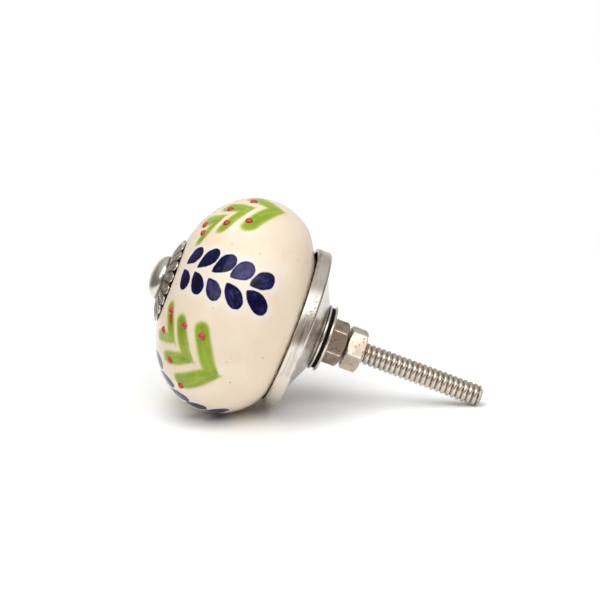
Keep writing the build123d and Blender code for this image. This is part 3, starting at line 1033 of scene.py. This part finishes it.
class OBJECT_OT_knob_nuts(bpy.types.Operator):
    """Build the two chamfered hexagon nuts"""

    bl_idname = "object.knob_nuts"
    bl_label = "Nuts"

    def execute(self, context):
        metal = context.scene.knob_metal
        # The same nut plating in a darker copy for painted shade and a paler copy for a painted highlight
        nuts = (
            ("inner_nut", metal.inner_nut_turn, metal.shaded_nut_nickel),
            ("outer_nut", metal.outer_nut_turn, metal.lit_nut_nickel),
        )
        for node, turn, tint in nuts:
            place(self.nut(metal, node, turn), self.finish(metal, node, tint), node)
        return {"FINISHED"}

    def nut(self, metal, node, turn):
        """One nut. Each column of its mesh runs through the hole, over an end, down a flat and back."""
        low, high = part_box(node)
        half = metal.across_flats / 2.0
        sixth = math.pi / 3.0

        def off_flat(around):
            """Angle from the middle of the nearest flat."""
            return np.mod(around - turn + sixth / 2.0, sixth) - sixth / 2.0

        angles = turns(6 * NUT_FLAT_COLUMNS)
        hexagon = half / np.cos(off_flat(angles))
        chamfer_start = np.full_like(hexagon, 0.96 * half)
        fall = (hexagon - chamfer_start) * math.tan(math.radians(30.0))
        hole = np.full_like(hexagon, metal.nut_hole)
        mouth = hole + metal.nut_mouth
        level = np.zeros_like(hexagon)
        rows = [
            (hole, level + low[1] + metal.nut_mouth),
            (mouth, level + low[1]),
            (chamfer_start, level + low[1]),
            (hexagon, low[1] + fall),
            (hexagon, high[1] - fall),
            (chamfer_start, level + high[1]),
            (mouth, level + high[1]),
            (hole, level + high[1] - metal.nut_mouth),
        ]
        radius = np.array([r for r, _ in rows])
        along = np.array([a for _, a in rows])
        piece = wound(node + "_hex", radius, along, angles, crease=20.0)
        _, _, around = cylindrical(piece.data)
        keep(piece.data, "corner", np.abs(off_flat(around)) / (sixth / 2.0))
        bevel = piece.modifiers.new("worn_edges", "BEVEL")
        bevel.width = metal.nut_wear
        bevel.segments = 3
        bevel.limit_method = "ANGLE"
        bevel.angle_limit = math.radians(24.0)
        return piece

    def finish(self, metal, node, tint):
        """Warm worn plate with scratches both ways, dirt, pits, and a painted highlight on the rubbed
        corners.
        """
        steel = Finish(node + "_nickel")
        cloud = steel.noise(420.0, 4.0, roughness=0.65)
        scratch = steel.noise(1.0, 4.0, steel.stretched(5200.0, 500.0, 5200.0))
        drag = steel.noise(1.0, 3.0, steel.stretched(600.0, 6000.0, 600.0))
        body = steel.blend(steel.ease(cloud, 0.35, 0.7), tint, shaded(tint, 0.66))
        body = steel.blend(steel.ease(scratch, 0.55, 0.75, 0.0, 0.6), body, shaded(tint, 1.3))
        body = steel.blend(steel.ease(drag, 0.62, 0.8, 0.0, 0.5), body, metal.tarnish_and_shade)
        pits = steel.ease(steel.noise(1900.0, 2.0), 0.62, 0.68, 0.0, 0.7)
        body = steel.blend(pits, body, metal.tarnish_and_shade)
        # Painted highlight: the rubbed corners are tinted brighter, up to almost twice as bright
        corner = steel.ease(steel.kept("corner"), 0.89, 0.97)
        rub_and_highlight = steel.times(corner, steel.ease(cloud, 0.35, 0.5))
        body = steel.blend(rub_and_highlight, body, shaded(tint, 1.9))
        steel.set(Base_Color=body, Metallic=1.0, Roughness=steel.ease(cloud, 0.3, 0.75, 0.24, 0.42))
        steel.bump(steel.plus(scratch, steel.times(drag, 0.6)), 0.02 * MM, 0.45)
        return steel


class OBJECT_OT_knob_screw(bpy.types.Operator):
    """Build the screw with its dome head and its thread"""

    bl_idname = "object.knob_screw"
    bl_label = "Screw"

    def execute(self, context):
        metal = context.scene.knob_metal
        self.shank(metal)
        self.dome(metal)
        return {"FINISHED"}

    def shank(self, metal):
        """The threaded shank. A right-hand thread falls back as it turns from +X to +Z."""
        tip = SCREW_HIGH[1]
        crest = metal.thread_crest
        angles = turns(SHANK_COLUMNS)
        start = CAP_LOW[1] + 0.3 * MM
        plain_end = -1.0 * MM
        threaded = np.arange(plain_end, tip, metal.thread_pitch / RINGS_PER_THREAD)
        along = np.concatenate([[start, plain_end - 0.05 * MM], threaded, [tip, tip]])
        level = np.repeat(along[:, None], len(angles), axis=1)
        phase = np.mod(level / metal.thread_pitch + angles / (2.0 * math.pi), 1.0)
        from_crest = np.abs(2.0 * phase - 1.0)
        radius = crest - (crest - metal.thread_root) * from_crest**2.4
        radius[:2] = crest
        chamfer = crest - metal.tip_chamfer + (tip - level)
        radius = np.minimum(radius, chamfer)
        radius[-1] = 0.0
        piece = wound("knob_screw_thread", radius, level, angles, joined=False, crease=60.0)
        reach, _, _ = cylindrical(piece.data)
        keep(piece.data, "height", (reach - metal.thread_root) / (crest - metal.thread_root))
        # Darker towards the roots of the thread
        darkening = ("height", 0.5, 0.0, 0.6, metal.tarnish_and_shade)
        # The shank's darker plating is painted shade
        finish = plated("shaded_screw_nickel", metal.shaded_screw_nickel, 0.22, (700.0, 2600.0, 700.0), darkening)
        place(piece, finish, "knob_screw")

    def dome(self, metal):
        """The low domed head, which sits on the cap's crown."""
        seat = CAP_LOW[1]
        height = seat - SCREW_LOW[1]
        turn = np.linspace(0.0, math.pi / 2.0, DOME_RINGS)
        rings = list(zip(metal.dome_radius * np.sin(turn), seat - height * np.cos(turn)))
        rings += [(metal.dome_radius * 0.98, seat), (metal.thread_crest, seat)]
        rings.append((metal.thread_crest, seat + 0.4 * MM))
        piece = wound("knob_screw_dome", *spun(np.array(rings), DOME_COLUMNS), joined=False)
        _, y, _ = cylindrical(piece.data)
        keep(piece.data, "over_seat", (seat - y) / MM)
        # Painted shade along the dome's rim, where it sits on the cap
        darkening = ("over_seat", 0.4, 0.05, 0.75, metal.tarnish_and_shade)
        finish = plated("dome_nickel", metal.dome_nickel, 0.19, (500.0, 500.0, 500.0), darkening)
        place(piece, finish)


# The stage

UP = Vector((0.0, 0.0, 1.0))

# Half the floor's width, where it starts to fade and where it is gone, and the room's radius, in metres
FLOOR_HALF = 0.3
FADE_START, FADE_END = 0.075, 0.17
ROOM_RADIUS = 1.3

# Lamps: name, angles in degrees to the right of the camera's side and above the floor, distance and size
# in metres, power in watts, and whether the metal shows it
LAMPS = (
    ("key_softbox", 39.0, 43.0, 0.62, (0.3, 0.38), 0.34, True),
    ("front_softbox", -10.0, 56.0, 0.62, (0.7, 0.36), 1.7, True),
    ("right_fill", 50.0, 40.0, 0.6, (0.35, 0.35), 0.44, False),
    ("side_lamp", -50.0, 36.0, 0.62, (0.22, 0.3), 0.42, True),
    ("top_softbox", -90.0, 80.0, 0.7, (0.35, 0.35), 1.02, False),
)


def lowest_point(lean, name):
    """How far the lowest point of a piece is from the seat, square to the floor."""
    down = lean.inverted()
    return min((down @ vertex.co).z for vertex in bpy.data.objects[name].data.vertices)


class OBJECT_OT_knob_stage(bpy.types.Operator):
    """Build the floor, the lamps and the camera"""

    bl_idname = "object.knob_stage"
    bl_label = "Stage"

    def execute(self, context):
        stage = context.scene.knob_stage
        context.scene.view_settings.view_transform = "Standard"
        lean = Matrix.Rotation(stage.floor_tilt, 4, "X")
        self.floor(stage, lean, lowest_point(lean, "ceramic_bulb_glazed"))
        self.world(context.scene, stage, lean)
        self.room(stage, lean)
        for lamp in LAMPS:
            self.lamp(lean, *lamp)
        self.camera(context.scene, stage)
        return {"FINISHED"}

    def floor(self, stage, lean, level):
        """A pale sheet that the knob lies on. It is clear from below, and fades into the white far away."""
        half = FLOOR_HALF
        corners = [(-half, -half), (half, -half), (half, half), (-half, half)]
        mesh = bpy.data.meshes.new("paper_floor")
        mesh.from_pydata([lean @ Vector((x, y, level)) for x, y in corners], [], [(0, 1, 2, 3)])
        paper = Finish("white_paper")
        paper.set(Base_Color=stage.floor_white, Roughness=1.0, Specular_IOR_Level=0.0)
        behind = paper.add("NewGeometry").outputs["Backfacing"]
        clear = paper.add("BsdfTransparent").outputs[0]
        away = paper.measure("LENGTH", paper.position)
        gone = paper.calc("MAXIMUM", behind, paper.ease(away, FADE_START, FADE_END))
        paper.show(paper.add("MixShader", {0: gone, 1: paper.shader.outputs[0], 2: clear}).outputs[0])
        mesh.materials.append(paper.material)
        sheet = in_scene("paper_floor", mesh)

    def world(self, scene, stage, lean):
        """Soft light from all round, stronger from above, and a white background to the camera."""
        world = bpy.data.worlds.new("white_studio")
        scene.world = world
        world.use_nodes = True
        sky = Nodes(world.node_tree, "Generated")
        rays = sky.add("LightPath").outputs
        seen = sky.calc("MAXIMUM", rays["Is Camera Ray"], rays["Is Glossy Ray"])
        seen = sky.calc("MAXIMUM", seen, rays["Is Transmission Ray"])
        high = sky.measure("DOT_PRODUCT", sky.position, lean @ UP)
        fill = sky.add("MapRange", {"Value": high, "To Min": stage.fill_low, "To Max": stage.fill_high})
        strength = sky.add("MapRange", {"Value": seen, "To Min": fill.outputs["Result"], "To Max": 1.0})
        background = sky.tree.nodes["Background"]
        sky.feed(background.inputs["Color"], (1.0, 1.0, 1.0))
        sky.feed(background.inputs["Strength"], strength.outputs["Result"])

    def room(self, stage, lean):
        """The dim room round the table, which shows in the metal only."""
        work = bmesh.new()
        bmesh.ops.create_uvsphere(work, u_segments=48, v_segments=24, radius=ROOM_RADIUS, matrix=lean)
        bmesh.ops.reverse_faces(work, faces=work.faces)
        mesh = bpy.data.meshes.new("studio_room")
        work.to_mesh(mesh)
        work.free()
        shell = in_scene("studio_room", mesh)
        wall = Finish("dim_room")
        high = wall.measure("DOT_PRODUCT", wall.position, lean @ UP)
        x, y, _ = wall.add("SeparateXYZ", {0: wall.position}).outputs
        tint = wall.blend(wall.ease(y, -0.5, -1.1), stage.room, stage.dark_wall)
        tint = wall.blend(wall.ease(high, 0.1, 1.2), tint, stage.ceiling)
        low = wall.ease(high, 0.75, 0.1)
        tint = wall.blend(wall.times(wall.ease(x, -0.85, -1.2), low), tint, stage.backdrop)
        wall.show(wall.add("Emission", {"Color": tint}).outputs[0])
        mesh.materials.append(wall.material)
        shell.visible_camera = False
        shell.visible_diffuse = False
        shell.visible_transmission = False
        shell.visible_shadow = False

    def lamp(self, lean, name, right, high, distance, size, power, shows):
        """A soft lamp, right of the camera's side and high above the floor by angles in degrees."""
        light = bpy.data.lights.new(name, "AREA")
        light.shape = "RECTANGLE"
        light.size, light.size_y = size
        light.energy = power
        across = math.radians(right)
        up = math.radians(high)
        way = Vector((math.cos(up) * math.cos(across), math.cos(up) * math.sin(across), math.sin(up)))
        lamp = in_scene(name, light)
        facing = (lean @ way).to_track_quat("Z", "Y").to_matrix().to_4x4()
        lamp.matrix_world = Matrix.Translation(lean @ (way * distance)) @ facing
        lamp.visible_glossy = shows

    def camera(self, scene, stage):
        """The camera, at the photograph's place and lens."""
        turn = stage.view_azimuth
        rise = stage.view_elevation
        back = Vector((math.sin(turn) * math.cos(rise), -math.cos(turn) * math.cos(rise), math.sin(rise)))
        level = Vector((math.cos(turn), math.sin(turn), 0.0))
        right = Matrix.Rotation(stage.view_roll, 3, back) @ level
        up = back.cross(right)
        stand = back * stage.view_distance - right * stage.seat_right + up * stage.seat_down
        data = bpy.data.cameras.new("photo_camera")
        data.lens = stage.lens
        data.sensor_width = 36.0
        data.clip_start = 0.01
        camera = in_scene("photo_camera", data)
        camera.matrix_world = Matrix.Translation(stand) @ Matrix((right, up, back)).transposed().to_4x4()
        scene.camera = camera


class VIEW3D_PT_knob(bpy.types.Panel):
    """The knob's pieces, in the order in which they are built"""

    bl_label = "Painted cabinet knob"
    bl_space_type = "VIEW_3D"
    bl_region_type = "UI"
    bl_category = "Knob"

    def draw(self, context):
        for piece in OPERATORS:
            self.layout.operator(piece.bl_idname)


OPERATORS = (
    OBJECT_OT_knob_ceramic,
    OBJECT_OT_knob_dots,
    OBJECT_OT_knob_cap,
    OBJECT_OT_knob_cup,
    OBJECT_OT_knob_washers,
    OBJECT_OT_knob_nuts,
    OBJECT_OT_knob_screw,
    OBJECT_OT_knob_stage,
)
SETTINGS = {
    "knob_ceramic": KnobCeramicSettings,
    "knob_paint": KnobPaintSettings,
    "knob_metal": KnobMetalSettings,
    "knob_stage": KnobStageSettings,
}
CLASSES = (*SETTINGS.values(), *OPERATORS, VIEW3D_PT_knob)


def register():
    for entry in CLASSES:
        bpy.utils.register_class(entry)
    for name, group in SETTINGS.items():
        setattr(bpy.types.Scene, name, PointerProperty(type=group))


def unregister():
    for name in SETTINGS:
        delattr(bpy.types.Scene, name)
    for entry in reversed(CLASSES):
        bpy.utils.unregister_class(entry)


def main():
    register()
    bpy.ops.object.knob_ceramic()
    bpy.ops.object.knob_dots()
    bpy.ops.object.knob_cap()
    bpy.ops.object.knob_cup()
    bpy.ops.object.knob_washers()
    bpy.ops.object.knob_nuts()
    bpy.ops.object.knob_screw()
    bpy.ops.object.knob_stage()


if __name__ == "__main__":
    main()
